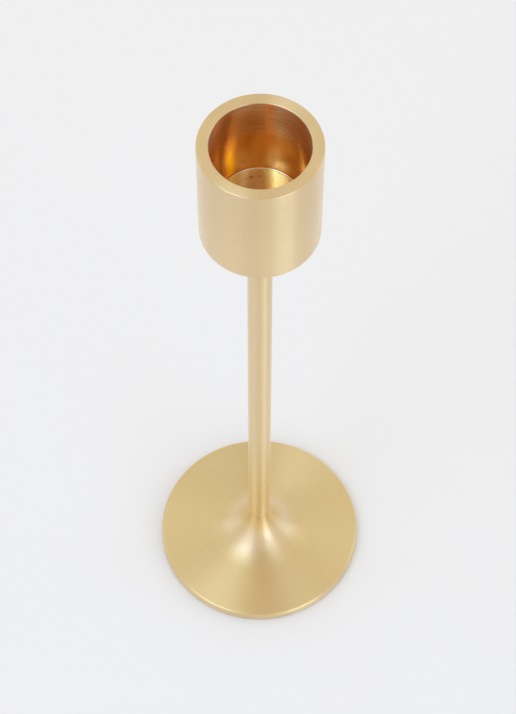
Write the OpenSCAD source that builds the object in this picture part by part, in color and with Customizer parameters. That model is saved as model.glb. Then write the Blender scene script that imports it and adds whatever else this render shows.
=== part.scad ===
// Taper candle holder in turned brass: a bored cup on a thin rod, screwed to a flared round foot.
// Millimetres. Z is the common axis of every piece, and z = 0 is the surface that the pad rests on.

/* [Overall] */
// Height from the table to the rim of the cup
overall_h = 190; // [120:1:300]

/* [Candle cup] */
// Diameter of the bore, which takes a 22 mm dinner candle
bore_d = 22.5; // [20:0.1:26]
// Depth of the bore, from the rim to its floor
bore_depth = 22.7; // [15:0.1:32]
// Depth of the bore's straight part, below the rim
bore_straight = 10; // [6:0.5:12]
// How much narrower the bore is at its floor, where it holds the candle's end
bore_narrowing = 2.4; // [0:0.1:4]
// Radius of the corner between the bore and its floor
bore_corner_r = 0.3; // [0.2:0.1:1]
// Wall of the cup round the bore
cup_wall = 2.75; // [2:0.05:5]
// Solid floor under the bore, which holds the stud
cup_floor = 8.8; // [8:0.1:14]
// Chamfer that breaks the sharp edges of the cup
cup_edge_break = 0.3; // [0.1:0.05:0.6]

/* [Stem] */
// Diameter of the rod
stem_d = 6; // [5.5:0.1:9]

/* [Foot] */
// Diameter of the foot
foot_d = 55.5; // [50:0.5:80]
// Height of the foot's outer edge
foot_edge_h = 2.8; // [2.2:0.1:5]
// Radius that rounds the top of the outer edge
foot_edge_r = 0.7; // [0.3:0.1:1.2]
// Chamfer under the outer edge
foot_edge_break = 0.2; // [0.1:0.05:0.5]
// Rise of the foot's top face towards the middle, in degrees
foot_rise = 1.6; // [0.5:0.1:4]
// Radius of the hollow flare that runs up to the stem
flare_r = 12; // [10:0.5:16]
// Angle between the flare and the stem where they meet, in degrees
flare_break = 5.6; // [0:0.1:15]
// Plain brass ring under the foot, outside the pad
foot_land = 2.75; // [2:0.05:6]

/* [Pad] */
// Thickness of the felt pad
pad_t = 1.5; // [1:0.1:2.2]
// How far the pad stands out below the foot
pad_proud = 0.2; // [0.1:0.05:0.6]

/* [Fasteners] */
// Thread of the screw and of the stud
thread_d = 4; // [3:0.5:4]
// Length of the stud that joins the cup to the stem
stud_length = 16; // [12:1:20]
// Length of the stud's end in the cup
stud_in_cup = 7; // [5:0.5:7]
// Length of the screw, below its head
screw_length = 16; // [14:1:25]
// Diameter of the screw's pan head
head_d = 8; // [6:0.1:9]
// Height of the screw's pan head
head_h = 3.1; // [2.4:0.1:3.4]
// Outer diameter of the spring washer
spring_washer_d = 7.6; // [6:0.1:9]
// Thickness of the spring washer
spring_washer_t = 0.9; // [0.6:0.1:1.1]
// Outer diameter of the flat washer
washer_d = 9; // [7:0.1:10]
// Thickness of the flat washer
washer_t = 0.8; // [0.5:0.1:1]

/* [Clearances] */
// Radial clearance of a thread in its tapped hole
thread_clearance = 0.05; // [0.02:0.01:0.08]
// Radial clearance of the screw in the foot and in the washers
hole_clearance = 0.15; // [0.1:0.05:0.2]
// Radial clearance of the head and washers in their pocket
pocket_clearance = 0.5; // [0.3:0.1:0.8]
// Radial clearance of the pad in its recess
pad_clearance = 0.25; // [0.1:0.05:0.5]
// Room past the end of a screw or stud
tip_clearance = 0.4; // [0.2:0.1:0.8]
// Room between the screw's head and the pad
head_clearance = 0.3; // [0.1:0.1:0.6]

/* [Hidden] */
$fn = 128;
ARC_STEPS = 32;
ROUND_STEPS = 6;
OVERCUT = 0.5;
SPLIT_W = 0.8;
SPLIT_SLANT = 20;
DOME_SHARE = 0.6;
CROSS_SHARE = 0.55;

BRASS = [0.83, 0.73, 0.53];
STEEL = [0.74, 0.75, 0.77];
FELT = [0.20, 0.19, 0.18];

bore_r = bore_d / 2;
cup_r = bore_r + cup_wall;
cup_bottom_z = overall_h - bore_depth - cup_floor;
bore_floor_z = overall_h - bore_depth;

// Below its straight part the bore is a cone, and the floor's corner is tangent to the cone and to the floor
bore_floor_r = bore_r - bore_narrowing / 2;
bore_taper = atan((bore_r - bore_floor_r) / (bore_depth - bore_straight));
bore_corner_x = bore_floor_r + bore_corner_r * (tan(bore_taper) - 1 / cos(bore_taper));

stem_r = stem_d / 2;
foot_r = foot_d / 2;
foot_bottom_z = pad_proud;
foot_edge_z = foot_bottom_z + foot_edge_h;

// The flare is an arc that is tangent to the foot's top face and stops at the stem's radius
flare_x = stem_r + flare_r * cos(flare_break);
flare_end_r = flare_x - flare_r * sin(foot_rise);
flare_end_z = foot_edge_z + (foot_r - foot_edge_r - flare_end_r) * tan(foot_rise);
flare_z = flare_end_z + flare_r * cos(foot_rise);
neck_z = flare_z - flare_r * sin(flare_break);

recess_r = foot_r - foot_land;
pad_r = recess_r - pad_clearance;
head_z = pad_t + head_clearance;
spring_washer_z = head_z + head_h;
washer_z = spring_washer_z + spring_washer_t;
seat_z = washer_z + washer_t;
pocket_r = max(head_d, spring_washer_d, washer_d) / 2 + pocket_clearance;

thread_r = thread_d / 2;
tapped_r = thread_r + thread_clearance;
clear_r = thread_r + hole_clearance;
screw_tip_z = spring_washer_z + screw_length;
stud_bottom_z = cup_bottom_z + stud_in_cup - stud_length;
tip_break = thread_d / 10;

// Points along an arc about (x, z), from one angle to another
function arc(x, z, r, from, to, steps) =
    [for (i = [0:steps]) let (a = from + (to - from) * i / steps) [x + r * cos(a), z + r * sin(a)]];

// Round bar with chamfered ends, from z = 0 up
module chamfered_bar(r, h, c) {
    rotate_extrude()
        polygon([[0, 0], [r - c, 0], [r, c], [r, h - c], [r - c, h], [0, h]]);
}

// Flat ring from z = 0 up
module ring(outer_r, inner_r, h) {
    difference() {
        cylinder(r = outer_r, h = h);
        translate([0, 0, -OVERCUT]) cylinder(r = inner_r, h = h + 2 * OVERCUT);
    }
}

// What the boring bar takes out of the cup: a straight bore from the rim that narrows to a round-cornered floor
module bore_cut() {
    c = cup_edge_break;
    rotate_extrude()
        polygon(concat(
            [[0, 0]],
            arc(bore_corner_x, bore_corner_r, bore_corner_r, -90, -bore_taper, ROUND_STEPS),
            [[bore_r, bore_depth - bore_straight], [bore_r, bore_depth - c], [bore_r + c, bore_depth],
             [bore_r + c, bore_depth + OVERCUT], [0, bore_depth + OVERCUT]]
        ));
}

module candle_cup() {
    color(BRASS)
        difference() {
            translate([0, 0, cup_bottom_z]) chamfered_bar(cup_r, overall_h - cup_bottom_z, cup_edge_break);
            translate([0, 0, bore_floor_z]) bore_cut();
            translate([0, 0, cup_bottom_z - OVERCUT])
                cylinder(r = tapped_r, h = stud_in_cup + tip_clearance + OVERCUT);
        }
}

module cup_stud() {
    color(STEEL)
        translate([0, 0, stud_bottom_z]) chamfered_bar(thread_r, stud_length, tip_break);
}

module stem() {
    color(BRASS)
        difference() {
            translate([0, 0, neck_z]) cylinder(r = stem_r, h = cup_bottom_z - neck_z);
            translate([0, 0, neck_z - OVERCUT])
                cylinder(r = tapped_r, h = screw_tip_z + tip_clearance - neck_z + OVERCUT);
            translate([0, 0, stud_bottom_z - tip_clearance])
                cylinder(r = tapped_r, h = cup_bottom_z - stud_bottom_z + tip_clearance + OVERCUT);
        }
}

// Half section of the foot before its underside is cut
module foot_section() {
    c = foot_edge_break;
    polygon(concat(
        [[0, foot_bottom_z], [foot_r - c, foot_bottom_z], [foot_r, foot_bottom_z + c]],
        arc(foot_r - foot_edge_r, foot_edge_z - foot_edge_r, foot_edge_r, 0, 90 - foot_rise, ROUND_STEPS),
        arc(flare_x, flare_z, flare_r, 270 - foot_rise, 180 + flare_break, ARC_STEPS),
        [[0, neck_z]]
    ));
}

module foot() {
    color(BRASS)
        difference() {
            rotate_extrude() foot_section();
            translate([0, 0, foot_bottom_z - OVERCUT])
                cylinder(r = recess_r, h = pad_t - foot_bottom_z + OVERCUT);
            cylinder(r = pocket_r, h = seat_z);
            cylinder(r = clear_r, h = neck_z + OVERCUT);
        }
}

module flat_washer() {
    color(STEEL)
        translate([0, 0, washer_z]) ring(washer_d / 2, clear_r, washer_t);
}

// Spring washer, pressed flat as it is in use, with its slanted split
module spring_washer() {
    color(STEEL)
        translate([0, 0, spring_washer_z])
            difference() {
                ring(spring_washer_d / 2, clear_r, spring_washer_t);
                translate([spring_washer_d / 2, 0, spring_washer_t / 2])
                    rotate([SPLIT_SLANT, 0, 0])
                        cube([spring_washer_d, SPLIT_W, 3 * spring_washer_t], center = true);
            }
}

// Pan head: flat under the washer, domed towards the pad
module pan_head() {
    dome_r = head_h * DOME_SHARE;
    rotate_extrude()
        polygon(concat(
            [[0, head_h], [head_d / 2, head_h]],
            arc(head_d / 2 - dome_r, dome_r, dome_r, 0, -90, ROUND_STEPS),
            [[0, 0]]
        ));
}

module foot_screw() {
    shank_z = head_z + head_h / 2;
    slot_w = thread_d / 5;
    slot_depth = head_h * CROSS_SHARE;
    color(STEEL)
        difference() {
            union() {
                translate([0, 0, head_z]) pan_head();
                translate([0, 0, shank_z]) chamfered_bar(thread_r, screw_tip_z - shank_z, tip_break);
            }
            for (turn = [0, 90])
                translate([0, 0, head_z])
                    rotate([0, 0, turn])
                        cube([head_d * CROSS_SHARE, slot_w, 2 * slot_depth], center = true);
        }
}

module base_pad() {
    color(FELT) cylinder(r = pad_r, h = pad_t);
}

candle_cup();
cup_stud();
stem();
foot();
flat_washer();
spring_washer();
foot_screw();
base_pad();
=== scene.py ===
"""Dresses the taper candle holder in turned brass, zinc plate and felt, in a plain studio."""
import logging
import math
from dataclasses import dataclass, field
from enum import Enum
from typing import Sequence, Union

import bpy
from mathutils import Matrix, Vector


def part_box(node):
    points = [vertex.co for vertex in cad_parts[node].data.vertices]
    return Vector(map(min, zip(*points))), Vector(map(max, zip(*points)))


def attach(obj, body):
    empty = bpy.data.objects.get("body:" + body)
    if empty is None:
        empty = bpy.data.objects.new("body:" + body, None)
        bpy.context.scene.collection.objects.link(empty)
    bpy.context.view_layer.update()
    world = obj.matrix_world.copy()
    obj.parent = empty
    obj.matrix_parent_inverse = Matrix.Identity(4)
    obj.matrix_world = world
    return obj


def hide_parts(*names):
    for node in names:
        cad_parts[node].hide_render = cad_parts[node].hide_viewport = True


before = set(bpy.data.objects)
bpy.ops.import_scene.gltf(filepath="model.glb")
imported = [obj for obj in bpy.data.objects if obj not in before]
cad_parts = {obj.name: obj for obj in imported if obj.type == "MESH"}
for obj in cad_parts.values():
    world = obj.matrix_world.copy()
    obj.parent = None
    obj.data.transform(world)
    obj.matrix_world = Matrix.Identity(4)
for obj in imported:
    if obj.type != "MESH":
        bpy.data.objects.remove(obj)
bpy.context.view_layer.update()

LOG = logging.getLogger("candle_holder")
BODY = "root"

# Blender's own metres: one millimetre, how close points merge and cuts snap, and how near the axis rings run
MM = 0.001
MERGE = 2e-6
CUT = 1e-8
AXIS = 1e-5

# Millimetres, as the pieces' sizes are: the bore and the holes that more than one piece shares
BORE_DEPTH = 22.7
BORE_STRAIGHT = 10.0
TAPPED_RADIUS = 2.05
CLEAR_RADIUS = 2.15
TIP_ROOM = 0.4

# Millimetres: the longest faces of large and small pieces, and the slack with which faces are told apart
LONG_FACE = 2.0
SHORT_FACE = 0.8
NEAR = 0.02

SATIN_ROUGHNESS = 0.42

Point = tuple[float, float]
Colour = tuple[float, float, float]
Value = Union["Wire", float]
Shade = Union["Wire", Colour]
Settings = dict[str, object]
Inputs = dict[Union[int, str], object]


class Slot(Enum):
    """Names of the material slots."""

    BRASS = "turned_brass"
    STEEL = "zinc_steel"
    FELT = "grey_felt"


class Node(Enum):
    """CAD nodes that the pieces stand for."""

    CUP = "candle_cup"
    STUD = "cup_stud"
    STEM = "stem"
    FOOT = "foot"
    FLAT_WASHER = "flat_washer"
    SPRING_WASHER = "spring_washer"
    SCREW = "foot_screw"
    PAD = "base_pad"

    def bottom(self) -> float:
        """Returns the lowest height of the node, in millimetres."""
        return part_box(self.value)[0].z / MM

    def top(self) -> float:
        """Returns the greatest height of the node, in millimetres."""
        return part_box(self.value)[1].z / MM

    def radius(self) -> float:
        """Returns the node's outer radius, in millimetres."""
        return max(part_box(self.value)[1].x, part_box(self.value)[1].y) / MM


# ---------------------------------------------------------------- shader graphs


class Blend(Enum):
    """Ways of mixing two colours."""

    BETWEEN = "MIX"
    ON_TOP = "ADD"


class Place(Enum):
    """Kinds of coordinates: metres in the frame, or a direction in a world."""

    METRES = "Object"
    DIRECTION = "Generated"


class Wire:
    """A shader value that takes part in Python arithmetic: each operation adds one Math node."""

    def __init__(self, graph: "Graph", socket: bpy.types.NodeSocket) -> None:
        """Wraps an output socket of the graph."""
        self.graph = graph
        self.socket = socket

    def math(self, operation: str, *others: Value) -> "Wire":
        """Adds a Math node.

        Args:
            operation: The node's operation.
            others: The second and third operands.

        Returns:
            The node's value.
        """
        operands = dict(enumerate((self, *others)))
        return self.graph.wire("ShaderNodeMath", {"operation": operation}, operands)

    def __add__(self, other: Value) -> "Wire":
        """Returns the sum."""
        return self.math("ADD", other)

    __radd__ = __add__

    def __sub__(self, other: Value) -> "Wire":
        """Returns the difference."""
        return self.math("SUBTRACT", other)

    def __rsub__(self, other: float) -> "Wire":
        """Returns a number less this value."""
        return self.graph.wire("ShaderNodeMath", {"operation": "SUBTRACT"}, {0: other, 1: self})

    def __mul__(self, other: Value) -> "Wire":
        """Returns the product."""
        return self.math("MULTIPLY", other)

    def __truediv__(self, other: Value) -> "Wire":
        """Returns the quotient."""
        return self.math("DIVIDE", other)

    def __pow__(self, other: Value) -> "Wire":
        """Returns the power."""
        return self.math("POWER", other)

    def swing(self, reach: float) -> "Wire":
        """Returns a value from 0 to 1 as a swing about 0 that is as wide as the reach."""
        return (self - 0.5) * reach

    def band(self, low: float, high: float) -> "Wire":
        """Returns a smooth step that goes from 0 at low to 1 at high."""
        settings = {"interpolation_type": "SMOOTHSTEP"}
        return self.graph.wire("ShaderNodeMapRange", settings, {0: self, 1: low, 2: high, 3: 0.0, 4: 1.0})

    def plateau(self, rise: Point, fall: Point) -> "Wire":
        """Returns 1 between two smooth steps, one that rises and one that falls, and 0 outside them."""
        return self.band(*rise) * (1.0 - self.band(*fall))

    def stripe(self, centre: float, width: float) -> "Wire":
        """Returns a soft stripe that is 1 at the centre and fades to 0 at half its width on each side."""
        return 1.0 - (self - centre).math("ABSOLUTE").band(0.0, width / 2)


@dataclass(frozen=True)
class Spot:
    """The coordinates of the point that is shaded."""

    x: Wire
    y: Wire
    z: Wire

    def vector(self) -> Wire:
        """Returns the three coordinates as a vector."""
        return self.x.graph.vector(self.x, self.y, self.z)

    def radius(self) -> Wire:
        """Returns the distance from the common axis."""
        return (self.x * self.x + self.y * self.y).math("SQRT")

    def turn(self) -> Wire:
        """Returns the turn round the common axis, in radians."""
        return self.y.math("ARCTAN2", self.x)


class Graph:
    """The node tree of one material or world, built by one method that makes any node."""

    def __init__(self, owner: Union[bpy.types.Material, bpy.types.World]) -> None:
        """Empties the owner's node tree.

        Args:
            owner: The material or world whose nodes are made here.
        """
        owner.use_nodes = True
        self.tree = owner.node_tree
        self.tree.nodes.clear()

    def node(
        self, kind: str, settings: Settings | None = None, inputs: Inputs | None = None
    ) -> bpy.types.Node:
        """Adds one node: its settings first, then the values or links of its sockets.

        Args:
            kind: The node's type.
            settings: Its properties.
            inputs: A value, a wire or an output socket for each named or numbered input.

        Returns:
            The new node.
        """
        made = self.tree.nodes.new(kind)
        for key, value in (settings or {}).items():
            setattr(made, key, value)
        for key, value in (inputs or {}).items():
            source = value.socket if isinstance(value, Wire) else value
            if isinstance(source, bpy.types.NodeSocket):
                self.tree.links.new(source, made.inputs[key])
            else:
                made.inputs[key].default_value = source
        return made

    def wire(
        self, kind: str, settings: Settings | None = None, inputs: Inputs | None = None, output: int = 0
    ) -> Wire:
        """Adds one node and returns one of its outputs as a wire."""
        return Wire(self, self.node(kind, settings, inputs).outputs[output])

    def mixed(self, factor: Value, first: Shade, second: Shade, blend: Blend = Blend.BETWEEN) -> Wire:
        """Mixes two colours.

        Args:
            factor: Share of the second colour.
            first: The first colour.
            second: The second colour.
            blend: Whether the result lies between the two or the second is added on top of the first.

        Returns:
            The mixed colour.
        """
        settings = {"data_type": "RGBA", "blend_type": blend.value}
        pair = [(*colour, 1.0) if isinstance(colour, tuple) else colour for colour in (first, second)]
        return self.wire("ShaderNodeMix", settings, {"Factor": factor, 6: pair[0], 7: pair[1]}, 2)

    def scaled(self, colour: Shade, share: Wire) -> Wire:
        """Returns a colour made lighter or darker by a share."""
        return self.wire("ShaderNodeVectorMath", {"operation": "SCALE"}, {0: colour, "Scale": share})

    def spot(self, kind: Place = Place.METRES) -> Spot:
        """Returns one kind of the shaded point's coordinates."""
        whole = self.node("ShaderNodeTexCoord").outputs[kind.value]
        parts = self.node("ShaderNodeSeparateXYZ", {}, {0: whole})
        return Spot(*(Wire(self, out) for out in parts.outputs))

    def vector(self, x: Value, y: Value, z: Value) -> Wire:
        """Returns three values as a vector."""
        return self.wire("ShaderNodeCombineXYZ", {}, {0: x, 1: y, 2: z})

    def noise(self, vector: Wire, scale: float = 1.0, detail: float = 2.0, rough: float = 0.5) -> Wire:
        """Returns a noise value from 0 to 1 at a vector."""
        sockets = {"Vector": vector, "Scale": scale, "Detail": detail, "Roughness": rough}
        return self.wire("ShaderNodeTexNoise", {}, sockets)

    def bump(self, height: Wire, depth_mm: float, normal: Wire | None = None) -> Wire:
        """Turns a height field into a normal.

        Args:
            height: The field, from 0 to 1.
            depth_mm: Its depth in millimetres.
            normal: A normal that it is laid over.

        Returns:
            The new normal.
        """
        sockets = {"Strength": 1.0, "Distance": depth_mm * MM, "Height": height}
        if normal is not None:
            sockets["Normal"] = normal
        return self.wire("ShaderNodeBump", {}, sockets)

    def surface(self, inputs: Inputs) -> None:
        """Ends a material with one Principled shader."""
        shader = self.node("ShaderNodeBsdfPrincipled", {}, inputs)
        self.node("ShaderNodeOutputMaterial", {}, {0: shader.outputs[0]})


def times(colour: Colour, share: float) -> Colour:
    """Returns a colour made lighter or darker by a share."""
    return tuple(min(1.0, c * share) for c in colour)


# ---------------------------------------------------------------- finishes


@dataclass(frozen=True)
class TurnedBrass:
    """Brass as a lathe leaves it: fine rings round the axis that stretch each highlight across them."""

    name: str
    colour: Colour = (0.781, 0.598, 0.323)
    edge_tint: Colour = (0.72, 0.71, 0.69)
    roughness: float = SATIN_ROUGHNESS
    stretch: float = 0.9
    stretch_turn: float = 0.25
    lacquer: float = 1.0
    lacquer_roughness: float = 0.25
    cloud: float = 0.018
    cloud_scale: float = 55.0
    cloud_blur: float = 0.06
    speckle: float = 0.035
    speckle_scale: float = 3200.0
    ring_mm: float = 0.36
    ring_turns: float = 9.0
    ring_grain: float = 0.6
    ring_depth_mm: float = 0.0024
    ring_tone: float = 0.10
    ring_blur: float = 0.05
    broad_pitch: float = 7.0
    broad_turns: float = 2.5
    broad_depth: float = 0.7
    broad_tone: float = 0.4
    mark_depth_mm: float = 0.02
    mark_darkness: float = 0.88

    def rings(self, graph: Graph, spot: Spot, pitch_mm: float, turns: float) -> Wire:
        """Makes noise drawn out into rings round the axis, with no seam.

        Args:
            graph: The material's graph.
            spot: The shaded point.
            pitch_mm: Typical distance between rings.
            turns: How often the noise changes round the axis.

        Returns:
            A value from 0 to 1.
        """
        radius = spot.radius().math("MAXIMUM", AXIS)
        across = (radius - spot.z) / (pitch_mm * MM)
        drawn_out = graph.vector(spot.x / radius * turns, spot.y / radius * turns, across)
        return graph.noise(drawn_out, rough=self.ring_grain)

    def marks(self, graph: Graph, spot: Spot) -> tuple[Wire | None, Wire | None]:
        """Returns the height and the darkness of single marks, where the finish has any."""
        return None, None

    def metal(self, graph: Graph, spot: Spot) -> Shade:
        """Returns the clean metal's colour."""
        return self.colour

    def blur(self, spot: Spot) -> Value:
        """Returns the roughness."""
        return self.roughness

    def material(self) -> bpy.types.Material:
        """Makes the finish as a material.

        Returns:
            The new material.
        """
        made = bpy.data.materials.new(self.name)
        graph = Graph(made)
        spot = graph.spot()
        fine = self.rings(graph, spot, self.ring_mm, self.ring_turns)
        broad = self.rings(graph, spot, self.broad_pitch * self.ring_mm, self.broad_turns)
        cloud = graph.noise(spot.vector(), self.cloud_scale, detail=3.0)
        grains = graph.noise(spot.vector(), self.speckle_scale, detail=1.0)
        tone = cloud.swing(2 * self.cloud) + grains.swing(2 * self.speckle)
        tone = tone + fine.swing(self.ring_tone) + broad.swing(self.ring_tone * self.broad_tone) + 1.0
        height, dark = self.marks(graph, spot)
        if dark is not None:
            tone = tone * (1.0 - dark * self.mark_darkness)
        normal = graph.bump(fine + broad * self.broad_depth, self.ring_depth_mm)
        if height is not None:
            normal = graph.bump(height, self.mark_depth_mm, normal)
        graph.surface(
            {
                "Base Color": graph.scaled(self.metal(graph, spot), tone),
                "Metallic": 1.0,
                "Roughness": fine.swing(self.ring_blur) + cloud.swing(self.cloud_blur) + self.blur(spot),
                "Anisotropic": self.stretch,
                "Anisotropic Rotation": self.stretch_turn,
                "Specular Tint": (*self.edge_tint, 1.0),
                "Coat Weight": self.lacquer,
                "Coat Roughness": self.lacquer_roughness,
                "Normal": normal,
            }
        )
        return made


@dataclass(frozen=True)
class Drift:
    """One change of tone and shine with the height: where it starts and stops, and what it ends at; the
    change of tone is painted light.
    """

    start_mm: float
    stop_mm: float
    colour: Colour
    roughness: float = SATIN_ROUGHNESS

    def share(self, spot: Spot) -> Wire:
        """Returns how far the change has gone at the shaded point's height."""
        return (spot.z / MM).band(self.start_mm, self.stop_mm)


@dataclass(frozen=True)
class GradedBrass(TurnedBrass):
    """Turned brass whose tone and shine drift with the height: the drifts of tone are painted shade, painted
    highlight and painted reflection of the neighbouring brass, the drifts of shine rougher zones.
    """

    drifts: tuple[Drift, ...] = ()

    def metal(self, graph: Graph, spot: Spot) -> Shade:
        """Lays the drifts of tone, which are painted light, over each other.

        Args:
            graph: The material's graph.
            spot: The shaded point.

        Returns:
            The clean metal's colour.
        """
        tone = self.colour
        for drift in self.drifts:
            tone = graph.mixed(drift.share(spot), tone, drift.colour)
        return tone

    def blur(self, spot: Spot) -> Value:
        """Lays the drifts of shine over each other.

        Args:
            spot: The shaded point.

        Returns:
            The roughness.
        """
        before, rough = self.roughness, self.roughness
        for drift in self.drifts:
            if drift.roughness != before:
                rough = drift.share(spot) * (drift.roughness - before) + rough
            before = drift.roughness
        return rough


@dataclass(frozen=True)
class StainAndReflection:
    """An upright streak on the bore's wall, partly stain and partly painted reflection: its turn and width
    in radians, its ends above the floor.
    """

    turn: float
    width: float
    low: float
    high: float
    colour: Colour
    strength: float = 1.0
    fade: float = 3.0

    def share(self, turn: Wire, level: Wire) -> Wire:
        """Returns how much of the streak shows at a turn round the axis and a level above the floor."""
        upright = level.plateau((self.low - self.fade, self.low + self.fade),
                                (self.high - self.fade, self.high + self.fade))
        return turn.stripe(self.turn, self.width) * upright * self.strength


@dataclass(frozen=True)
class BoredBrass(TurnedBrass):
    """Bare brass of the candle bore: a bright floor darkened in parts by painted reflection, a wall with
    streaks that are partly stains and partly painted reflection and with painted light towards the rim, and
    rings that the boring bar scored.

    Lengths are in millimetres, levels start at the bore's floor, and turns are in radians.
    """

    rim_mm: float = 190.0
    # painted light: the bore's wall turns paler towards the rim, where more light falls in
    rim_fade: float = 6.5
    rim_light_colour: Colour = (0.90, 0.68, 0.42)
    mouth_fade: Point = (-3.5, 2.5)
    mouth_colour: Colour = (0.71, 0.39, 0.145)
    mouth_roughness: float = 0.30
    floor_fade: Point = (0.05, 0.25)
    floor_colour: Colour = (0.81, 0.72, 0.53)
    # painted reflection: the floor darker to the left, in a stripe near the middle and to the right, as the
    # camera sees it, where it mirrors darker surroundings
    painted_floor_shade: Colour = (0.57, 0.39, 0.20)
    painted_shade_middle: Point = (1.7, 2.8)
    painted_shade_left: Point = (-5.4, -2.4)
    painted_shade_right: Point = (4.6, 7.0)
    painted_shade_depth: float = 0.8
    right_painted_shade_depth: float = 0.6
    # upright streaks, partly stains and partly painted reflections of the lamps and the room, placed by
    # their turn round the axis
    stains_and_reflections: tuple[StainAndReflection, ...] = (
        StainAndReflection(2.28, 0.38, -9.0, 7.7, (1.00, 0.68, 0.00), 1.0, 4.0),
        StainAndReflection(2.20, 0.90, 10.2, 22.7, (0.58, 0.25, 0.08), 0.8),
        StainAndReflection(1.85, 0.60, 4.7, 19.7, (0.66, 0.32, 0.10), 0.6),
        StainAndReflection(1.05, 0.70, 7.2, 14.2, (0.95, 0.64, 0.30), 0.6, 2.0),
        StainAndReflection(1.18, 0.60, -9.0, 8.7, (0.92, 0.58, 0.24), 0.6),
        StainAndReflection(1.20, 0.80, -9.0, 3.2, (1.00, 0.76, 0.34), 0.9, 1.5),
        StainAndReflection(2.75, 1.90, -9.0, 0.5, (0.45, 0.25, 0.10), 0.8, 0.15),
        StainAndReflection(1.38, 0.42, 7.7, 30.0, (0.85, 0.34, 0.09), 0.7),
        StainAndReflection(0.55, 1.30, 6.7, 24.7, (0.80, 0.49, 0.19), 0.7),
    )
    scores: tuple[Point, ...] = (
        (11.9, 0.4), (12.5, 0.8), (13.1, 0.5), (13.7, 1.0), (14.5, 0.6), (15.2, 0.7), (16.3, 0.4),
    )
    score_width: float = 0.28
    scored_turns: tuple[Point, Point] = ((0.35, 0.75), (1.05, 1.35))
    scored_colour: Colour = (1.00, 0.74, 0.36)
    scored_tone: float = 0.8
    chatter_mm: float = 0.55
    chatter_turns: float = 1.2
    chatter: Point = (0.45, 0.70)
    chatter_depth: float = 0.12
    chatter_darkness: float = 0.22
    wall_radii: Point = (10.4, 10.9)
    arc_mm: float = 7.7
    arc_width: float = 0.34
    arc_turns: tuple[Point, Point] = ((1.75, 1.85), (2.2, 2.5))
    arc_darkness: float = 0.35
    dots: tuple[tuple[float, float, float], ...] = ((1.59, 0.11, 0.6), (1.83, 0.15, 0.78))
    dot_width: float = 0.8

    def metal(self, graph: Graph, spot: Spot) -> Shade:
        """Colours the wall with streaks that are partly stains and partly painted reflection and with
        painted light towards the rim, and the floor with its parts darkened by painted reflection.

        Args:
            graph: The material's graph.
            spot: The shaded point.

        Returns:
            The metal's colour.
        """
        turn, level = spot.turn(), self.level(spot)
        wall = graph.mixed(self.mouth(spot), self.colour, self.mouth_colour)
        # painted light: the wall turns paler towards the rim
        wall = graph.mixed(level.band(BORE_DEPTH - self.rim_fade, BORE_DEPTH), wall, self.rim_light_colour)
        # streaks that are partly stains and partly painted reflection
        for wall_streak in self.stains_and_reflections:
            wall = graph.mixed(wall_streak.share(turn, level), wall, wall_streak.colour)
        wall = graph.mixed(self.scored(turn, level) * self.scored_tone, wall, self.scored_colour)
        # painted reflection: the floor darkens by its left-right place as the camera sees it
        across = spot.x / MM
        shade_share = (across.stripe(*self.painted_shade_middle) + (1.0 - across.band(*self.painted_shade_left))) * self.painted_shade_depth
        shade_share = shade_share + across.band(*self.painted_shade_right) * self.right_painted_shade_depth
        floor = graph.mixed(shade_share, self.floor_colour, self.painted_floor_shade)
        return graph.mixed(level.band(*self.floor_fade), floor, wall)

    def level(self, spot: Spot) -> Wire:
        """Returns the millimetres above the bore's floor."""
        return spot.z / MM - (self.rim_mm - BORE_DEPTH)

    def blur(self, spot: Spot) -> Value:
        """Returns the roughness."""
        return self.mouth(spot) * (self.mouth_roughness - self.roughness) + self.roughness

    def mouth(self, spot: Spot) -> Wire:
        """Returns the share of the bore's rougher mouth."""
        straight = BORE_DEPTH - BORE_STRAIGHT
        return self.level(spot).band(straight + self.mouth_fade[0], straight + self.mouth_fade[1])

    def scored(self, turn: Wire, level: Wire) -> Wire:
        """Returns the depth of the rings that the boring bar scored on one side of the wall."""
        rings = sum(level.stripe(height, self.score_width) * depth for height, depth in self.scores)
        return rings * turn.plateau(*self.scored_turns)

    def marks(self, graph: Graph, spot: Spot) -> tuple[Wire | None, Wire | None]:
        """Draws the boring bar's marks.

        Args:
            graph: The material's graph.
            spot: The shaded point.

        Returns:
            The height of the scored rings, and the darkness of the chatter and of the scratch on the floor.
        """
        radius, level, turn = spot.radius() / MM, self.level(spot), spot.turn()
        chatter = self.rings(graph, spot, self.chatter_mm, self.chatter_turns)
        grooves = chatter.band(*self.chatter) * self.mouth(spot)
        height = self.scored(turn, level) * radius.band(*self.wall_radii) + grooves * self.chatter_depth
        line = radius.stripe(self.arc_mm, self.arc_width) * turn.plateau(*self.arc_turns) * self.arc_darkness
        dots = sum(turn.stripe(middle, width) * dark for middle, width, dark in self.dots)
        scratch = line + radius.stripe(self.arc_mm, self.dot_width) * dots
        return height, (1.0 - level.band(*self.floor_fade)) * scratch + grooves * self.chatter_darkness


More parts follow.
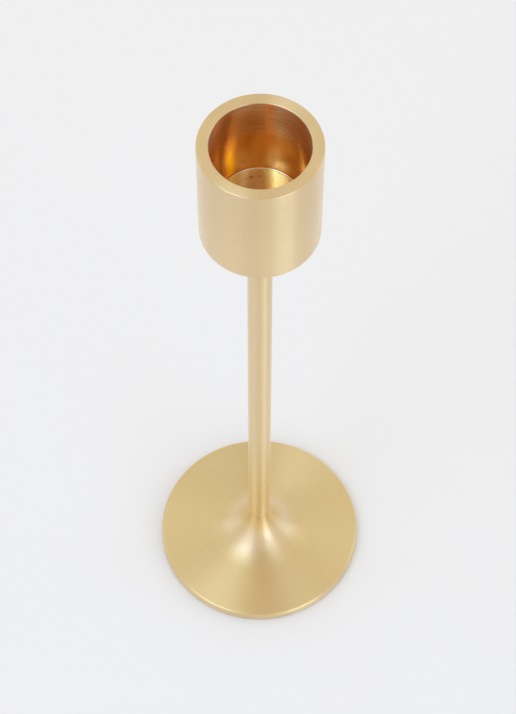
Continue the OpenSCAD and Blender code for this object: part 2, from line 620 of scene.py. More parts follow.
@dataclass(frozen=True)
class ZincPlate:
    """Bright zinc plate on steel, faintly blue and yellow where the passivation is thicker."""

    name: str
    colour: Colour = (0.62, 0.63, 0.65)
    yellowed: Colour = (0.66, 0.63, 0.55)
    blued: Colour = (0.54, 0.59, 0.67)
    yellow_film: Point = (0.35, 0.7)
    blue_film: Point = (0.6, 0.3)
    film_scale: float = 420.0
    film_blur: float = 0.16
    pit_scale: float = 6500.0
    pit_blur: float = 0.1
    pit_depth_mm: float = 0.004
    roughness: float = 0.27

    def material(self) -> bpy.types.Material:
        """Makes the finish as a material.

        Returns:
            The new material.
        """
        made = bpy.data.materials.new(self.name)
        graph = Graph(made)
        vector = graph.spot().vector()
        film = graph.noise(vector, self.film_scale, detail=3.0, rough=0.6)
        pits = graph.noise(vector, self.pit_scale)
        warm = graph.mixed(film.band(*self.yellow_film), self.colour, self.yellowed)
        graph.surface(
            {
                "Base Color": graph.mixed(film.band(*self.blue_film), warm, self.blued),
                "Metallic": 1.0,
                "Roughness": film.swing(self.film_blur) + pits.swing(self.pit_blur) + self.roughness,
                "Normal": graph.bump(pits, self.pit_depth_mm),
            }
        )
        return made


@dataclass(frozen=True)
class PressedFelt:
    """Pressed wool felt: matted fibres of several greys with a soft nap."""

    name: str
    colour: Colour = (0.10, 0.095, 0.09)
    dark_tone: float = 0.55
    pale_tone: float = 1.6
    strand_tone: float = 3.2
    strand_span: Point = (0.72, 0.95)
    strand_share: float = 0.35
    strand_bend: float = 14.0
    fleck_tone: float = 2.6
    fleck_span: Point = (0.0, 0.22)
    fleck_share: float = 0.4
    drift_scale: float = 900.0
    drift_reach: float = 0.0012
    fibre_scale: float = 2600.0
    strand_scale: float = 950.0
    fleck_scale: float = 1400.0
    nap_mm: float = 0.12

    def material(self) -> bpy.types.Material:
        """Makes the finish as a material.

        Returns:
            The new material.
        """
        made = bpy.data.materials.new(self.name)
        graph = Graph(made)
        spot = graph.spot()
        drift = graph.noise(spot.vector(), self.drift_scale).swing(self.drift_reach)
        swirl = graph.vector(spot.x + drift, spot.y - drift, spot.z)
        fibres = graph.noise(swirl, self.fibre_scale, detail=5.0, rough=0.7)
        wave = {"Vector": swirl, "Scale": self.strand_scale, "Detail": 3.0, "Detail Scale": 2.2}
        strands = graph.wire("ShaderNodeTexWave", {}, {**wave, "Distortion": self.strand_bend}, 1)
        flecks = graph.wire("ShaderNodeTexVoronoi", {}, {"Vector": swirl, "Scale": self.fleck_scale})
        body = graph.mixed(fibres, times(self.colour, self.dark_tone), times(self.colour, self.pale_tone))
        strand = strands.band(*self.strand_span) * self.strand_share
        fleck = (1.0 - flecks.band(*self.fleck_span)) * self.fleck_share
        light = graph.mixed(strand, body, times(self.colour, self.strand_tone))
        colour = graph.mixed(fleck, light, times(self.colour, self.fleck_tone))
        graph.surface(
            {
                "Base Color": colour,
                "Roughness": 0.95,
                "Sheen Weight": 0.35,
                "Sheen Roughness": 0.5,
                "Specular IOR Level": 0.2,
                "Normal": graph.bump(fibres + strands * 0.5, self.nap_mm),
            }
        )
        return made


@dataclass(frozen=True)
class Finishes:
    """All finishes of the holder, made once and shared by its pieces."""

    satin: bpy.types.Material
    rod: bpy.types.Material
    flared: bpy.types.Material
    bore: bpy.types.Material
    raw: bpy.types.Material
    zinc: bpy.types.Material
    felt: bpy.types.Material

    @classmethod
    def made(cls) -> "Finishes":
        """Makes each material.

        Returns:
            The set.
        """
        return cls(
            satin=GradedBrass(
                "satin_turned_brass", colour=(0.822, 0.624, 0.341),
                # painted shade: the cup darker towards its rim, where it mirrors the darker floor further in
                # front
                drifts=(Drift(162.0, 184.0, (0.790, 0.597, 0.322)),),
            ).material(),
            rod=GradedBrass(
                "satin_turned_rod_brass", colour=(0.828, 0.622, 0.288),
                # painted reflection: the rod more golden near the foot, which it mirrors
                drifts=(Drift(25.0, 75.0, (0.815, 0.624, 0.337)),),
            ).material(),
            flared=GradedBrass(
                "satin_turned_foot_brass", colour=(0.781, 0.601, 0.302),
                drifts=(
                    # painted highlight: the flare paler where it catches the softboxes, with a rougher
                    # finish as well
                    Drift(3.6, 5.8, (0.828, 0.654, 0.400), 0.45),
                    # painted reflection: the flare golden near the neck, where it mirrors the rod
                    Drift(6.5, 11.0, (0.828, 0.620, 0.292)),
                ),
            ).material(),
            bore=BoredBrass(
                "bored_brass", colour=(0.77, 0.42, 0.12), roughness=0.15, stretch=0.95, ring_mm=0.5,
                ring_depth_mm=0.0015, speckle=0.02, lacquer=0.0, edge_tint=(1.0, 1.0, 1.0),
                rim_mm=Node.CUP.top(),
            ).material(),
            raw=TurnedBrass(
                "faced_brass", colour=(0.78, 0.58, 0.31), roughness=0.30, ring_mm=0.35,
                ring_depth_mm=0.006, lacquer=0.0,
            ).material(),
            zinc=ZincPlate("zinc_plate").material(),
            felt=PressedFelt("pressed_felt").material(),
        )


# ---------------------------------------------------------------- workshop


@dataclass(frozen=True)
class Corner:
    """One corner of a half section: its place and the radius that rounds it, in millimetres."""

    radius: float
    height: float
    rounding: float = 0.0
    steps: int = 5


def arc(centre: Point, radius: float, start: float, end: float, steps: int) -> list[Point]:
    """Lists points along an arc.

    Args:
        centre: The arc's centre, as radius and height.
        radius: The arc's own radius.
        start: First angle in degrees, from the outward direction towards up.
        end: Last angle.
        steps: Number of parts.

    Returns:
        The points, both ends among them.
    """
    angles = [math.radians(start + (end - start) * i / steps) for i in range(steps + 1)]
    return [(centre[0] + radius * math.cos(a), centre[1] + radius * math.sin(a)) for a in angles]


def rounded(corners: Sequence[Corner], closed: bool) -> list[Point]:
    """Turns corners into a line whose corners are rounded.

    Args:
        corners: The corners in order.
        closed: Whether the last corner joins the first.

    Returns:
        The points of the line.
    """
    points: list[Point] = []
    count = len(corners)
    for i, corner in enumerate(corners):
        here = Vector((corner.radius, corner.height))
        if corner.rounding <= 0 or (not closed and i in (0, count - 1)):
            points.append(tuple(here))
            continue
        before = corners[i - 1]
        after = corners[(i + 1) % count]
        back = (Vector((before.radius, before.height)) - here).normalized()
        ahead = (Vector((after.radius, after.height)) - here).normalized()
        half = back.angle(ahead) / 2
        reach = corner.rounding / math.tan(half)
        centre = here + (back + ahead).normalized() * (corner.rounding / math.sin(half))
        first, last = here + back * reach - centre, here + ahead * reach - centre
        sweep = first.angle(last)
        for k in range(corner.steps + 1):
            t = sweep * k / corner.steps
            spoke = (first * math.sin(sweep - t) + last * math.sin(t)) / math.sin(sweep)
            points.append(tuple(centre + spoke))
    return points


def spaced(points: Sequence[Point], longest: float) -> list[Point]:
    """Divides the long straight parts of a line, so that no face is drawn out.

    Args:
        points: The line.
        longest: Greatest length of a part, in millimetres.

    Returns:
        The line with more points.
    """
    line = [points[0]]
    for (r0, z0), (r1, z1) in zip(points, points[1:]):
        parts = max(1, math.ceil(math.hypot(r1 - r0, z1 - z0) / longest))
        line += [(r0 + (r1 - r0) * k / parts, z0 + (z1 - z0) * k / parts) for k in range(1, parts + 1)]
    return line


class Fusion(Enum):
    """Ways of combining two solids."""

    JOINED = "UNION"
    CUT_OUT = "DIFFERENCE"
    SHARED = "INTERSECT"


class Bench:
    """Selection and modifier steps that every piece needs."""

    @staticmethod
    def pick(*objects: bpy.types.Object) -> None:
        """Selects only the given objects and makes the first active."""
        bpy.ops.object.select_all(action="DESELECT")
        for obj in objects:
            obj.select_set(True)
        bpy.context.view_layer.objects.active = objects[0]

    @staticmethod
    def apply(obj: bpy.types.Object, kind: str, **settings: object) -> None:
        """Adds a modifier to an object and applies it.

        Args:
            obj: The object.
            kind: The modifier's type.
            settings: Its properties.
        """
        Bench.pick(obj)
        modifier = obj.modifiers.new(kind.lower(), kind)
        for key, value in settings.items():
            setattr(modifier, key, value)
        bpy.ops.object.modifier_apply(modifier=modifier.name)

    @staticmethod
    def combine(obj: bpy.types.Object, tool: bpy.types.Object, fusion: Fusion) -> None:
        """Combines an object with a tool, and deletes the tool."""
        Bench.apply(obj, "BOOLEAN", operation=fusion.value, object=tool, solver="EXACT")
        bpy.data.objects.remove(tool, do_unlink=True)

    @staticmethod
    def tidy(obj: bpy.types.Object, crease: float) -> None:
        """Merges doubles, turns the faces outwards and shades them smooth up to an angle.

        Args:
            obj: The object.
            crease: Angle in degrees past which an edge stays sharp.
        """
        Bench.pick(obj)
        bpy.ops.object.mode_set(mode="EDIT")
        bpy.ops.mesh.select_all(action="SELECT")
        bpy.ops.mesh.remove_doubles(threshold=MERGE)
        bpy.ops.mesh.normals_make_consistent(inside=False)
        bpy.ops.object.mode_set(mode="OBJECT")
        bpy.ops.object.shade_smooth_by_angle(angle=math.radians(crease))
        bpy.ops.object.select_all(action="DESELECT")

    @staticmethod
    def wire(name: str, points: Sequence[Point]) -> bpy.types.Object:
        """Draws a half section by extruding one vertex from point to point.

        Args:
            name: Name of the new object.
            points: The section as radius and height, in millimetres.

        Returns:
            The object, in edit mode with all selected.
        """
        bpy.ops.object.select_all(action="DESELECT")
        bpy.ops.mesh.primitive_plane_add(size=MM)
        obj = bpy.context.object
        obj.name = obj.data.name = name
        bpy.ops.object.mode_set(mode="EDIT")
        bpy.ops.mesh.merge(type="CENTER")
        r, z = points[0]
        bpy.ops.transform.translate(value=(r * MM, 0, z * MM))
        for nr, nz in points[1:]:
            step = ((nr - r) * MM, 0, (nz - z) * MM)
            bpy.ops.mesh.extrude_region_move(TRANSFORM_OT_translate={"value": step})
            r, z = nr, nz
        bpy.ops.mesh.select_all(action="SELECT")
        return obj

    @staticmethod
    def turned(
        name: str, points: Sequence[Point], steps: int = 256, crease: float = 28.0
    ) -> bpy.types.Object:
        """Spins a half section into a closed solid about the common axis.

        Args:
            name: Name of the new object.
            points: The section; it starts and ends on the axis, or ends where it starts.
            steps: Number of parts round the axis.
            crease: Angle in degrees past which an edge stays sharp.

        Returns:
            The finished solid.
        """
        obj = Bench.wire(name, points)
        bpy.ops.mesh.spin(
            steps=steps, angle=2 * math.pi, center=(0, 0, 0), axis=(0, 0, 1), use_auto_merge=True
        )
        bpy.ops.object.mode_set(mode="OBJECT")
        Bench.tidy(obj, crease)
        return obj


@dataclass(frozen=True)
class Zone:
    """The faces of a piece that take a material of their own: within a radius and between two heights."""

    material: bpy.types.Material
    radius: float
    low: float
    high: float

    def holds(self, middle: Vector) -> bool:
        """Returns whether the middle of a face, in millimetres, lies in the zone."""
        wide = math.hypot(middle.x, middle.y)
        return wide < self.radius + NEAR and self.low - NEAR < middle.z < self.high + NEAR


class SubAssembly:
    """What every sub-assembly shares: the hand-over of a finished piece to the frame."""

    def deliver(
        self,
        piece: bpy.types.Object,
        node: Node,
        slot: Slot,
        material: bpy.types.Material,
        zones: Sequence[Zone] = (),
    ) -> bpy.types.Object:
        """Dresses a piece and lets it stand for its CAD node.

        Args:
            piece: The finished piece.
            node: The CAD node that it replaces.
            slot: Not used.
            material: The material of the faces outside the zones.
            zones: The zones that have another one; where two overlap, the first one counts.

        Returns:
            The same piece.
        """
        materials = list(dict.fromkeys([material, *(zone.material for zone in zones)]))
        for used in materials:
            piece.data.materials.append(used)
        if zones:
            for polygon in piece.data.polygons:
                middle = polygon.center / MM
                worn = next((zone.material for zone in zones if zone.holds(middle)), material)
                polygon.material_index = materials.index(worn)
        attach(piece, BODY)
        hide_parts(node.value)
        LOG.info("%s: %d faces, stands for %s", piece.name, len(piece.data.polygons), node.value)
        return piece


# ---------------------------------------------------------------- brass pieces


@dataclass
class CandleCup(SubAssembly):
    """The bored cup that holds the candle."""

    finishes: Finishes
    bore_radius: float = 11.25
    bore_floor_radius: float = 10.05
    bore_corner: float = 0.3
    bore_blend: float = 40.0
    edge: float = 0.3
    countersink: float = 0.25

    def section(self) -> list[Point]:
        """Draws the cup's half section from the tapped hole's end round to the middle of the bore.

        Returns:
            The section's points.
        """
        low, rim, wall = Node.CUP.bottom(), Node.CUP.top(), Node.CUP.radius()
        floor, tapped = rim - BORE_DEPTH, Node.STUD.top() + TIP_ROOM
        corners = [
            Corner(0, tapped),
            Corner(TAPPED_RADIUS, tapped),
            Corner(TAPPED_RADIUS, low + self.countersink),
            Corner(TAPPED_RADIUS + self.countersink, low),
            Corner(wall, low, self.edge, 6),
            Corner(wall, rim, self.edge, 8),
            Corner(self.bore_radius, rim, self.edge, 8),
            Corner(self.bore_radius, rim - BORE_STRAIGHT, self.bore_blend, 8),
            Corner(self.bore_floor_radius, floor, self.bore_corner, 8),
            Corner(0, floor),
        ]
        return spaced(rounded(corners, closed=False), LONG_FACE)

    def build(self) -> list[bpy.types.Object]:
        """Builds the cup.

        Returns:
            The finished pieces.
        """
        cup = Bench.turned("candle_cup_turned", self.section())
        low, rim = Node.CUP.bottom(), Node.CUP.top()
        bore = Zone(self.finishes.bore, self.bore_radius, rim - BORE_DEPTH, rim)
        hole = Zone(self.finishes.raw, TAPPED_RADIUS + self.countersink, low, rim - BORE_DEPTH)
        return [self.deliver(cup, Node.CUP, Slot.BRASS, self.finishes.satin, (bore, hole))]


@dataclass
class Stem(SubAssembly):
    """The round rod, tapped at both ends."""

    finishes: Finishes
    edge: float = 0.12
    countersink: float = 0.2

    def section(self) -> list[Point]:
        """Draws the rod's half section from the lower hole's end round to the upper one's.

        Returns:
            The section's points.
        """
        low, high, wall = Node.STEM.bottom(), Node.STEM.top(), Node.STEM.radius()
        lower, upper = Node.SCREW.top() + TIP_ROOM, Node.STUD.bottom() - TIP_ROOM
        corners = [
            Corner(0, lower),
            Corner(TAPPED_RADIUS, lower),
            Corner(TAPPED_RADIUS, low + self.countersink),
            Corner(TAPPED_RADIUS + self.countersink, low),
            Corner(wall, low, self.edge, 4),
            Corner(wall, high, self.edge, 4),
            Corner(TAPPED_RADIUS + self.countersink, high),
            Corner(TAPPED_RADIUS, high - self.countersink),
            Corner(TAPPED_RADIUS, upper),
            Corner(0, upper),
        ]
        return spaced(rounded(corners, closed=False), 2 * LONG_FACE)

    def build(self) -> list[bpy.types.Object]:
        """Builds the rod.

        Returns:
            The finished pieces.
        """
        rod = Bench.turned("stem_rod", self.section(), steps=128)
        reach = TAPPED_RADIUS + self.countersink
        holes = Zone(self.finishes.raw, reach, Node.STEM.bottom(), Node.STEM.top())
        return [self.deliver(rod, Node.STEM, Slot.BRASS, self.finishes.rod, (holes,))]


@dataclass
class Foot(SubAssembly):
    """The round foot, drawn up in a hollow flare to the stem."""

    finishes: Finishes
    edge_height: float = 2.8
    edge_round: float = 0.7
    edge_break: float = 0.2
    rise: float = 1.6
    flare_radius: float = 12.0
    flare_break: float = 5.6
    pad_room: float = 0.25
    pocket_room: float = 0.5
    recess_round: float = 0.12
    pocket_round: float = 0.2
    inner_round: float = 0.15
    countersink: float = 0.15

    def recess(self) -> Point:
        """Returns the radius and the top of the recess that takes the pad."""
        return Node.PAD.radius() + self.pad_room, Node.PAD.top()

    def pocket(self) -> Point:
        """Returns the radius and the top of the pocket that takes the washers and the screw's head."""
        return Node.FLAT_WASHER.radius() + self.pocket_room, Node.FLAT_WASHER.top()

    def section(self) -> list[Point]:
        """Draws the foot's half section as a closed line from the screw's seat out, up and back.

        Returns:
            The section's points, the first one also last.
        """
        low, neck, wall = Node.FOOT.bottom(), Node.FOOT.top(), Node.FOOT.radius()
        (recess, recess_top), (pocket, seat) = self.recess(), self.pocket()
        under = [
            Corner(CLEAR_RADIUS, seat),
            Corner(pocket, seat, self.inner_round, 3),
            Corner(pocket, recess_top, self.pocket_round, 3),
            Corner(recess, recess_top, self.inner_round, 3),
            Corner(recess, low, self.recess_round, 3),
            Corner(wall, low, self.edge_break, 5),
            Corner(wall, low + self.edge_height),
        ]
        line = rounded(under, closed=False)[:-1]
        top = low + self.edge_height
        line += arc((wall - self.edge_round, top - self.edge_round), self.edge_round, 0, 90 - self.rise, 12)
        centre_r = Node.STEM.radius() + self.flare_radius * math.cos(math.radians(self.flare_break))
        centre_z = neck + self.flare_radius * math.sin(math.radians(self.flare_break))
        line += arc((centre_r, centre_z), self.flare_radius, 270 - self.rise, 180 + self.flare_break, 72)
        line += [(CLEAR_RADIUS + self.countersink, neck), (CLEAR_RADIUS, neck - self.countersink), line[0]]
        return spaced(line, LONG_FACE)

    def build(self) -> list[bpy.types.Object]:
        """Builds the foot.

        Returns:
            The finished pieces.
        """
        foot = Bench.turned("foot_turned", self.section())
        (recess, recess_top), (pocket, seat) = self.recess(), self.pocket()
        hidden = (
            (CLEAR_RADIUS + self.countersink, Node.FOOT.top()),
            (pocket + self.pocket_round, seat),
            (recess + self.recess_round, recess_top),
        )
        zones = [Zone(self.finishes.raw, wide, Node.FOOT.bottom(), high) for wide, high in hidden]
        return [self.deliver(foot, Node.FOOT, Slot.BRASS, self.finishes.flared, zones)]


# ---------------------------------------------------------------- fasteners


@dataclass(frozen=True)
class Thread:
    """A rolled metric thread; its phase, as a share of one step, keeps the square cuts off its points."""

    diameter: float = 4.0
    pitch: float = 0.7
    depth: float = 0.43
    crest: float = 0.09
    root: float = 0.17
    steps: int = 48
    phase: float = 0.6

    def bar(self, name: str, low: float, high: float) -> bpy.types.Object:
        """Makes a closed threaded bar.

        Args:
            name: Name of the new object.
            low: Height of the lower end.
            high: Height of the upper end.

        Returns:
            The bar, cut square at both ends.
        """
        outer = self.diameter / 2
        inner = outer - self.depth
        flank = (self.pitch - self.crest - self.root) / 2
        points: list[Point] = []
        z = low - 2 * self.pitch - self.phase * self.pitch / self.steps
        while z < high + self.pitch:
            points += [(outer, z), (outer, z + self.crest)]
            points += [(inner, z + self.crest + flank), (inner, z + self.crest + flank + self.root)]
            z += self.pitch
        obj = Bench.wire(name, points)
        bpy.ops.object.mode_set(mode="OBJECT")
        Bench.apply(
            obj, "SCREW", axis="Z", angle=2 * math.pi, screw_offset=self.pitch * MM, steps=self.steps,
            render_steps=self.steps, iterations=1, use_smooth_shade=False,
        )
        Bench.pick(obj)
        bpy.ops.object.mode_set(mode="EDIT")
        for height, side in ((low, -1), (high, 1)):
            bpy.ops.mesh.select_all(action="SELECT")
            bpy.ops.mesh.remove_doubles(threshold=MERGE)
            bpy.ops.mesh.bisect(
                plane_co=(0, 0, height * MM), plane_no=(0, 0, side), use_fill=True, clear_outer=True,
                threshold=CUT,
            )
        bpy.ops.object.mode_set(mode="OBJECT")
        Bench.tidy(obj, crease=40.0)
        return obj


@dataclass
class Fastening(SubAssembly):
    """The hidden stud, screw and washers that clamp cup, stem and foot together."""

    finishes: Finishes
    thread: Thread = field(default_factory=Thread)
    tip: float = 0.4
    overcut: float = 1.0
    blank_margin: float = 0.1
    head_break: float = 0.12
    dome: float = 1.86
    shank_overlap: float = 1.2
    recess_span: float = 4.4
    recess_width: float = 0.8
    recess_depth: float = 1.7
    recess_overcut: float = 0.4
    recess_taper: tuple[float, float, float] = (0.45, 0.8, 1.0)
    burr: float = 0.05
    outer_roll: float = 0.16
    inner_roll: float = 0.14
    wire_round: float = 0.1
    split_width: float = 0.8
    split_slant: float = 20.0
    slant_reach: float = 0.6

    def tipped(self, name: str, low: float, high: float, tips: tuple[bool, bool]) -> bpy.types.Object:
        """Makes a threaded bar with turned-down tips.

        Args:
            name: Name of the new object.
            low: Height of the lower end.
            high: Height of the upper end.
            tips: Whether the lower and the upper end are turned down.

        Returns:
            The threaded bar.
        """
        bar = self.thread.bar(name, low, high)
        full = self.thread.diameter / 2 + self.blank_margin
        small = self.thread.diameter / 2 - self.tip
        ends = []
        for height, side, turned_down in ((low, 1, tips[0]), (high, -1, tips[1])):
            beyond = height - side * self.overcut
            tip = [(0.0, height), (small, height), (full, height + side * (full - small))]
            ends.append(tip if turned_down else [(0.0, beyond), (full, beyond)])
        blank = Bench.turned("tip_blank", ends[0] + ends[1][::-1], steps=64)
        Bench.combine(bar, blank, Fusion.SHARED)
        Bench.tidy(bar, crease=35.0)
        return bar

    def stud(self) -> bpy.types.Object:
        """Returns the threaded stud between the cup and the stem."""
        stud = self.tipped("cup_stud_threaded", Node.STUD.bottom(), Node.STUD.top(), (True, True))
        return self.deliver(stud, Node.STUD, Slot.STEEL, self.finishes.zinc)

    def cross(self, low: float) -> bpy.types.Object:
        """Makes the cutter of the screw's cross recess.

        Args:
            low: Height of the head's lowest point.

        Returns:
            The cutter, wider at the mouth than at its end.
        """
        blades = []
        for number, turn in enumerate((0.0, math.pi / 2)):
            bpy.ops.object.select_all(action="DESELECT")
            bpy.ops.mesh.primitive_cube_add(size=1, location=(0, 0, (low + self.recess_depth / 2) * MM))
            blade = bpy.context.object
            blade.name = f"cross_blade_{number}"
            depth = self.recess_depth + self.recess_overcut
            blade.scale = (self.recess_span * MM, self.recess_width * MM, depth * MM)
            bpy.ops.object.transform_apply(location=True, rotation=True, scale=True)
            bpy.ops.object.mode_set(mode="EDIT")
            bpy.ops.mesh.select_all(action="DESELECT")
            bpy.ops.object.mode_set(mode="OBJECT")
            for vertex in blade.data.vertices:
                vertex.select = vertex.co.z > (low + self.recess_depth / 2) * MM
            bpy.ops.object.mode_set(mode="EDIT")
            bpy.ops.transform.resize(value=self.recess_taper, center_override=(0, 0, 0))
            bpy.ops.mesh.select_all(action="SELECT")
            bpy.ops.transform.rotate(value=turn, orient_axis="Z", center_override=(0, 0, 0))
            bpy.ops.object.mode_set(mode="OBJECT")
            blades.append(blade)
        Bench.combine(blades[0], blades[1], Fusion.JOINED)
        return blades[0]

    def screw(self) -> bpy.types.Object:
        """Makes the pan-head screw that comes up through the foot.

        Returns:
            The finished piece.
        """
        low, high = Node.SCREW.bottom(), Node.SCREW.top()
        wide, seat = Node.SCREW.radius(), Node.SPRING_WASHER.bottom()
        head = [(0.0, low)] + arc((wide - self.dome, low + self.dome), self.dome, -90, 0, 14)
        head += [(wide, seat - self.head_break), (wide - self.head_break, seat), (0.0, seat)]
        screw = Bench.turned("foot_screw_pan_head", spaced(head, SHORT_FACE), steps=96)
        Bench.combine(screw, self.cross(low), Fusion.CUT_OUT)
        shank = self.tipped("shank", seat - self.shank_overlap, high, (False, True))
        Bench.combine(screw, shank, Fusion.JOINED)
        Bench.tidy(screw, crease=32.0)
        return self.deliver(screw, Node.SCREW, Slot.STEEL, self.finishes.zinc)

    def flat_washer(self) -> bpy.types.Object:
        """Makes the stamped washer, rounded on the side where the punch went in.

        Returns:
            The finished piece.
        """
        low, high, wide = Node.FLAT_WASHER.bottom(), Node.FLAT_WASHER.top(), Node.FLAT_WASHER.radius()
        corners = [
            Corner(CLEAR_RADIUS, low, self.burr, 2), Corner(wide, low, self.outer_roll, 5),
            Corner(wide, high, self.burr, 2), Corner(CLEAR_RADIUS, high, self.inner_roll, 5),
        ]
        line = rounded(corners, closed=True)
        washer = Bench.turned("flat_washer_stamped", spaced(line + line[:1], SHORT_FACE), steps=128)
        return self.deliver(washer, Node.FLAT_WASHER, Slot.STEEL, self.finishes.zinc)

    def spring_washer(self) -> bpy.types.Object:
        """Makes the split washer, pressed flat, with its ends cut on a slant.

        Returns:
            The finished piece.
        """
        low, high, wide = Node.SPRING_WASHER.bottom(), Node.SPRING_WASHER.top(), Node.SPRING_WASHER.radius()
        outline = ((CLEAR_RADIUS, low), (wide, low), (wide, high), (CLEAR_RADIUS, high))
        line = rounded([Corner(r, z, self.wire_round, 3) for r, z in outline], closed=True)
        washer = Bench.wire("spring_washer_split", line + line[:1])
        bpy.ops.mesh.remove_doubles(threshold=MERGE)
        bpy.ops.mesh.edge_face_add()
        gap = 2 * self.split_width / (CLEAR_RADIUS + wide)
        bpy.ops.transform.rotate(value=gap / 2, orient_axis="Z", center_override=(0, 0, 0))
        bpy.ops.mesh.spin(steps=110, angle=2 * math.pi - gap, center=(0, 0, 0), axis=(0, 0, 1))
        bpy.ops.object.mode_set(mode="OBJECT")
        self.slant(washer, (low + high) / 2)
        Bench.tidy(washer, crease=35.0)
        return self.deliver(washer, Node.SPRING_WASHER, Slot.STEEL, self.finishes.zinc)

    def slant(self, washer: bpy.types.Object, level: float) -> None:
        """Leans the washer's two ends over, less and less away from the split.

        Args:
            washer: The split ring.
            level: Height of its middle, in millimetres.
        """
        lean = math.tan(math.radians(self.split_slant))
        for vertex in washer.data.vertices:
            x, y, z = vertex.co / MM
            turn = math.atan2(y, x)
            share = max(0.0, 1.0 - abs(turn) / self.slant_reach)
            vertex.co = Matrix.Rotation(lean * (z - level) * share / math.hypot(x, y), 3, "Z") @ vertex.co

    def build(self) -> list[bpy.types.Object]:
        """Builds the fasteners.

        Returns:
            The finished pieces.
        """
        return [self.stud(), self.screw(), self.flat_washer(), self.spring_washer()]


# ---------------------------------------------------------------- pad


@dataclass
class FeltPad(SubAssembly):
    """The round felt pad in the foot's recess, flat where it is glued and where it stands."""

    finishes: Finishes
    rim_gap: float = 0.05
    soft_edge: float = 0.45
    glued_edge: float = 0.12
    face: float = 0.55
    nap: float = 0.07
    nap_size: float = 0.45
    crease: float = 60.0

    def build(self) -> list[bpy.types.Object]:
        """Builds the pad.

        Returns:
            The finished pieces.
        """
        low, high, wide = Node.PAD.bottom(), Node.PAD.top(), Node.PAD.radius() - self.rim_gap
        corners = [
            Corner(0, low), Corner(wide, low, self.soft_edge, 6),
            Corner(wide, high, self.glued_edge, 3), Corner(0, high),
        ]
        line = spaced(rounded(corners, closed=False), self.face)
        pad = Bench.turned("base_pad_felt", line, steps=320, crease=self.crease)
        self.mat_fibres(pad, high)
        return [self.deliver(pad, Node.PAD, Slot.FELT, self.finishes.felt)]

    def mat_fibres(self, pad: bpy.types.Object, high: float) -> None:
        """Roughens the pad's open faces inwards, as matted fibres do.

        Args:
            pad: The pad.
            high: Height of its glued face.
        """
        group = pad.vertex_groups.new(name="open_faces")
        for vertex in pad.data.vertices:
            if vertex.co.z < (high - NEAR) * MM:
                group.add([vertex.index], 1.0, "REPLACE")
        clouds = bpy.data.textures.new("fibre_clouds", "CLOUDS")
        clouds.noise_scale = self.nap_size * MM
        clouds.noise_depth = 2
        Bench.apply(
            pad, "DISPLACE", texture=clouds, texture_coords="LOCAL", strength=self.nap * MM, mid_level=1.0,
            vertex_group=group.name,
        )
        Bench.pick(pad)
        bpy.ops.object.shade_smooth_by_angle(angle=math.radians(self.crease))
        bpy.ops.object.select_all(action="DESELECT")


# ---------------------------------------------------------------- studio


@dataclass(frozen=True)
class Softbox:
    """A rectangular studio light that faces the holder, in degrees from front to right and in metres."""

    name: str
    azimuth: float
    elevation: float
    distance: float
    width: float
    height: float
    radiance: float
    colour: Colour = (1.0, 1.0, 1.0)
    aim: float = 0.06

    def build(self) -> None:
        """Hangs the light."""
        lamp = bpy.data.lights.new(self.name, "AREA")
        lamp.shape = "RECTANGLE"
        lamp.size, lamp.size_y = self.width, self.height
        lamp.color = self.colour
        lamp.energy = self.radiance * math.pi * self.width * self.height
        obj = bpy.data.objects.new(self.name, lamp)
        bpy.context.scene.collection.objects.link(obj)
        side, up = math.radians(self.azimuth), math.radians(self.elevation)
        away = Vector((math.sin(side) * math.cos(up), -math.cos(side) * math.cos(up), math.sin(up)))
        obj.location = Vector((0, 0, self.aim)) + away * self.distance
        obj.rotation_euler = (-away).to_track_quat("-Z", "Y").to_euler()
        obj.visible_camera = False


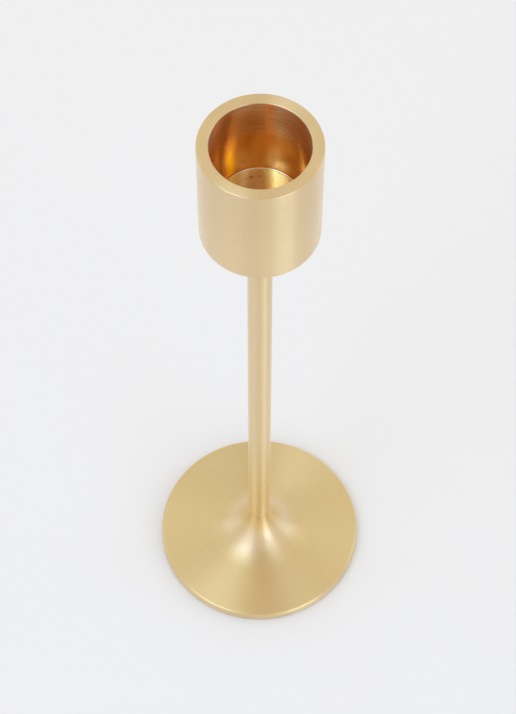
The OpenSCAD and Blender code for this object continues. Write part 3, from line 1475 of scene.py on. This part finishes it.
@dataclass(frozen=True)
class Studio:
    """Pale floor, soft surroundings and a few softboxes."""

    floor_size: float = 9.0
    floor_inset: float = 0.3
    floor_colour: Colour = (0.868, 0.868, 0.868)
    far_floor_colour: Colour = (0.835, 0.868, 0.930)
    far_floor: Point = (0.6, 2.6)
    # painted shade: the floor grows darker towards the front, by this share over the span below
    floor_fade: float = 0.08
    front_shade_span: Point = (-0.45, 0.35)
    floor_clouds: float = 0.01
    floor_cloud_scale: float = 1.3
    air: Colour = (0.906, 0.844, 0.740)
    near_air: Colour = (0.899, 0.963, 1.096)
    near_span: Point = (0.80, 0.90)
    camera_air: Colour = (0.520, 0.350, 0.200)
    camera_span: Point = (0.925, 0.972)
    camera_direction: Point = (-0.438, 0.899)
    back_horizon: Colour = (0.498, 0.594, 0.761)
    right_horizon: Colour = (0.000, 0.140, 0.339)
    horizon_power: float = 5.0
    softboxes: tuple[Softbox, ...] = (
        Softbox("key", -45, 46, 1.3, 0.62, 0.62, 1.45, (0.62, 0.62, 1.00)),
        Softbox("key_core", -34, 50, 1.3, 0.42, 0.42, 1.20, (0.50, 0.60, 1.00)),
        Softbox("high_core", -33, 67, 1.2, 0.28, 0.30, 1.50, (0.48, 0.90, 1.00)),
        Softbox("high", -60, 58, 1.2, 0.45, 0.35, 2.19, (0.48, 0.81, 1.00)),
        Softbox("high_left", -90, 58, 1.2, 0.45, 0.35, 0.45, (0.21, 0.43, 1.00)),
        Softbox("low_right", 36, 8, 1.2, 0.60, 0.50, 3.50, (0.62, 0.80, 1.00)),
        Softbox("low_right_side", 60, 8, 1.2, 0.50, 0.40, 0.38, (0.86, 0.85, 1.00)),
        Softbox("low_front", 8, 6, 1.2, 0.50, 0.40, 0.72, (1.00, 0.91, 0.66)),
        Softbox("right_back", 104, 28, 1.2, 0.50, 0.45, 1.42, (0.55, 0.72, 1.00)),
        Softbox("left_back", -112, 26, 1.2, 0.50, 0.45, 0.90, (0.46, 0.61, 1.00)),
        Softbox("high_back", -151, 58, 1.2, 0.25, 0.35, 0.28, (0.00, 1.00, 0.93)),
    )

    def floor(self) -> None:
        """Lays the pale floor that the holder stands on, darker towards the front as painted shade."""
        bpy.ops.object.select_all(action="DESELECT")
        bpy.ops.mesh.primitive_circle_add(vertices=96, radius=self.floor_size / 2, fill_type="NGON")
        floor = bpy.context.object
        floor.name = floor.data.name = "studio_floor"
        bpy.ops.object.mode_set(mode="EDIT")
        bpy.ops.mesh.select_all(action="SELECT")
        bpy.ops.mesh.inset(thickness=self.floor_size * self.floor_inset)
        bpy.ops.object.mode_set(mode="OBJECT")
        material = bpy.data.materials.new("studio_paper")
        graph = Graph(material)
        spot = graph.spot()
        clouds = graph.noise(spot.vector(), self.floor_cloud_scale).swing(self.floor_clouds)
        # painted shade: darker towards the front
        fade = spot.y.band(*self.front_shade_span) * self.floor_fade + (1.0 - self.floor_fade)
        paper = graph.mixed(spot.radius().band(*self.far_floor), self.floor_colour, self.far_floor_colour)
        colour = graph.scaled(paper, fade + clouds)
        graph.surface({"Base Color": colour, "Roughness": 0.9, "Specular IOR Level": 0.1})
        floor.data.materials.append(material)

    def surroundings(self) -> None:
        """Fills the room with slightly warm light, paler at the horizon and darker round the camera."""
        world = bpy.data.worlds.new("studio_air")
        bpy.context.scene.world = world
        graph = Graph(world)
        away = graph.spot(Place.DIRECTION)
        right, back = (((side + 1.0) * 0.5) ** 2.0 for side in (away.x, away.y))
        horizon = (1.0 - away.z.math("MAXIMUM", 0.0)) ** self.horizon_power
        toward_camera = away.y * self.camera_direction[0] + away.z * self.camera_direction[1]
        colour = graph.mixed(toward_camera.band(*self.near_span), self.air, self.near_air)
        colour = graph.mixed(toward_camera.band(*self.camera_span), colour, self.camera_air)
        colour = graph.mixed(back * horizon, colour, self.back_horizon, Blend.ON_TOP)
        colour = graph.mixed(right * horizon, colour, self.right_horizon, Blend.ON_TOP)
        glow = graph.node("ShaderNodeBackground", {}, {"Color": colour, "Strength": 1.0})
        graph.node("ShaderNodeOutputWorld", {}, {0: glow.outputs[0]})

    def build(self) -> None:
        """Builds the studio."""
        self.floor()
        self.surroundings()
        for softbox in self.softboxes:
            softbox.build()
            LOG.info("softbox %s", softbox.name)


@dataclass(frozen=True)
class Viewpoint:
    """The camera: its place, lens and sensor in millimetres, and its turns in radians."""

    back: float = 287.20
    height: float = 595.07
    yaw: float = 0.0015
    pitch: float = 1.0458
    roll: float = 0.0017
    lens: float = 115.83
    sensor: float = 36.0
    nearest: float = 10.0

    def build(self) -> None:
        """Sets up the camera."""
        data = bpy.data.cameras.new("camera")
        data.sensor_width = self.sensor
        data.lens = self.lens
        data.clip_start = self.nearest * MM
        camera = bpy.data.objects.new("camera", data)
        bpy.context.scene.collection.objects.link(camera)
        turn = Matrix.Rotation(self.yaw, 4, "Z") @ Matrix.Rotation(math.pi / 2 - self.pitch, 4, "X")
        turn = turn @ Matrix.Rotation(self.roll, 4, "Z")
        camera.matrix_world = Matrix.Translation((0, -self.back * MM, self.height * MM)) @ turn
        bpy.context.scene.camera = camera


def set_up_render() -> None:
    """Sets the view transform and how often light is followed from metal to metal."""
    scene = bpy.context.scene
    scene.view_settings.view_transform = "Standard"
    scene.cycles.use_denoising = True
    scene.cycles.max_bounces = 16
    scene.cycles.glossy_bounces = 10


def main() -> None:
    """Builds the holder piece by piece, then the studio and the camera."""
    logging.basicConfig(level=logging.INFO, format="%(name)s: %(message)s")
    finishes = Finishes.made()
    makers = (Foot(finishes), Stem(finishes), CandleCup(finishes), Fastening(finishes), FeltPad(finishes))
    for maker in makers:
        pieces = maker.build()
        LOG.info("%s done, %d pieces", type(maker).__name__, len(pieces))
    Studio().build()
    Viewpoint().build()
    set_up_render()


if __name__ == "__main__":
    main()
